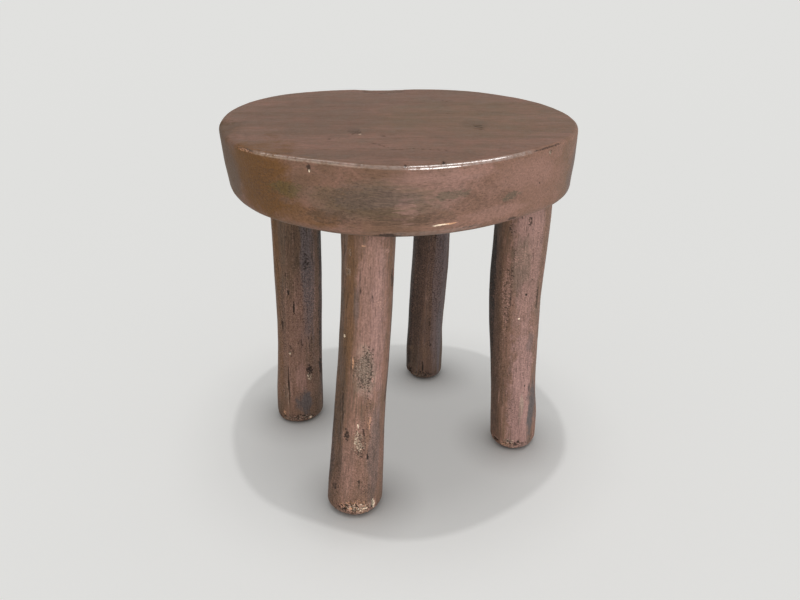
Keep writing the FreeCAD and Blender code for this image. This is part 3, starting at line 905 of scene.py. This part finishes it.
def makeFloor():
    size = 40.0
    mesh = bpy.data.meshes.new("floor")
    corners = [(-size, -size, 0), (size, -size, 0), (size, size, 0), (-size, size, 0)]
    mesh.from_pydata(corners, [], [(0, 1, 2, 3)])
    floor = bpy.data.objects.new("floor", mesh)
    bpy.context.scene.collection.objects.link(floor)
    floor.location.z = -0.2 * mm
    material = bpy.data.materials.new("floorPaper")
    material.use_nodes = True
    s = NodeSheet(material.node_tree)
    # the overhead lamps fade with distance, and the floor glows by what it lacks there
    high = studio["overhead"]["height"]
    level = studio["overhead"]["level"] + studio["softbox"]["level"]
    away = s.vector("LENGTH", s.add("ShaderNodeTexCoord").outputs["Object"])
    share = s.over(high ** 2, s.plus(high ** 2, s.times(away, away)))
    lost = s.minus(1.0, s.times(share, share))
    glowLevel = s.plus(s.times(lost, level), studio["floorGlow"])
    # painted contact shadow: little of the glow reaches the floor right beside a foot, as ambient occlusion
    # dims it
    paintedContactShadow = studio["paintedContactShadow"]
    paintedContactShade = s.add("ShaderNodeAmbientOcclusion", {"Distance": paintedContactShadow["reach"]}, samples=8).outputs["AO"]
    glowLevel = s.times(glowLevel, s.math("POWER", paintedContactShade, paintedContactShadow["depth"]))
    matt = s.add("ShaderNodeBsdfDiffuse", {"Color": studio["backdrop"]})
    glow = s.add("ShaderNodeEmission", {"Color": studio["backdrop"], "Strength": glowLevel})
    end = s.add("ShaderNodeOutputMaterial")
    s.plug(s.add("ShaderNodeAddShader", {0: matt, 1: glow}), end.inputs["Surface"])
    mesh.materials.append(material)
    return floor


def addLamp(name, kind, lit):
    # a lamp that falls on the listed objects only
    lamp = bpy.data.objects.new(name, bpy.data.lights.new(name, kind))
    bpy.context.scene.collection.objects.link(lamp)
    lamp.data.color = studio[name]["colour"]
    takers = bpy.data.collections.new(name + "Falls")
    for taker in lit:
        takers.objects.link(taker)
    lamp.light_linking.receiver_collection = takers
    return lamp


def addSun(name, lit):
    sun = studio[name]
    lamp = addLamp(name, "SUN", lit)
    lamp.rotation_euler = Vector(sun["from"]).to_track_quat("Z", "Y").to_euler()
    lamp.data.energy = sun["level"] * math.pi
    lamp.data.angle = math.radians(sun["spread"])


def addOverhead(name, lit):
    # above the seat and a little in front of it, so its shadow pools between the legs
    disk = studio[name]
    lamp = addLamp(name, "AREA", lit)
    lamp.location = (0, -disk["ahead"], disk["height"])
    lamp.data.shape = "DISK"
    lamp.data.size = disk["size"]
    lamp.data.energy = disk["level"] * math.pi ** 2 * disk["height"] ** 2


def addStrip(name, lit):
    # a long box of light up beside the stool, which draws the bright line on the rim
    strip = studio[name]
    lamp = addLamp(name, "AREA", lit)
    back = Vector(strip["at"]) - Vector(strip["aim"])
    away = back.length
    back.normalize()
    long = Vector(strip["along"])
    long = (long - long.dot(back) * back).normalized()
    lamp.rotation_euler = Matrix((long, back.cross(long), back)).transposed().to_euler()
    lamp.location = strip["at"]
    lamp.data.shape = "RECTANGLE"
    lamp.data.size = strip["long"]
    lamp.data.size_y = strip["wide"]
    lamp.data.energy = strip["level"] * math.pi ** 2 * away ** 2


def setWorld():
    world = bpy.data.worlds.new("studioAir")
    bpy.context.scene.world = world
    world.use_nodes = True
    s = NodeSheet(world.node_tree)
    rays = s.add("ShaderNodeLightPath").outputs
    mirrored = s.math("MAXIMUM", rays["Is Glossy Ray"], rays["Is Transmission Ray"])
    seen = s.math("MAXIMUM", rays["Is Camera Ray"], mirrored)
    level = s.blend(seen, studio["airLevel"], 1.0)
    colour = s.tint(seen, (1, 1, 1, 1), studio["backdrop"])
    air = s.add("ShaderNodeBackground", {"Color": colour, "Strength": level})
    s.plug(air, s.add("ShaderNodeOutputWorld").inputs["Surface"])


def setCamera():
    view = {"at": (0.0, -0.67944, 0.49566), "down": 25.994, "right": 0.27, "lens": 32.64, "sensor": 36.0}
    data = bpy.data.cameras.new("photoView")
    data.lens = view["lens"]
    data.sensor_width = view["sensor"]
    camera = bpy.data.objects.new("photoView", data)
    bpy.context.scene.collection.objects.link(camera)
    camera.location = view["at"]
    camera.rotation_euler = (math.radians(90 - view["down"]), 0, math.radians(-view["right"]))
    bpy.context.scene.camera = camera


floor = makeFloor()
addOverhead("overhead", [floor])
addOverhead("softbox", [floor])
addSun("key", stool)
addSun("fill", stool)
addStrip("strip", stool)
addStrip("glint", stool)
setWorld()
setCamera()
bpy.context.scene.view_settings.view_transform = "Standard"
print("studio set")
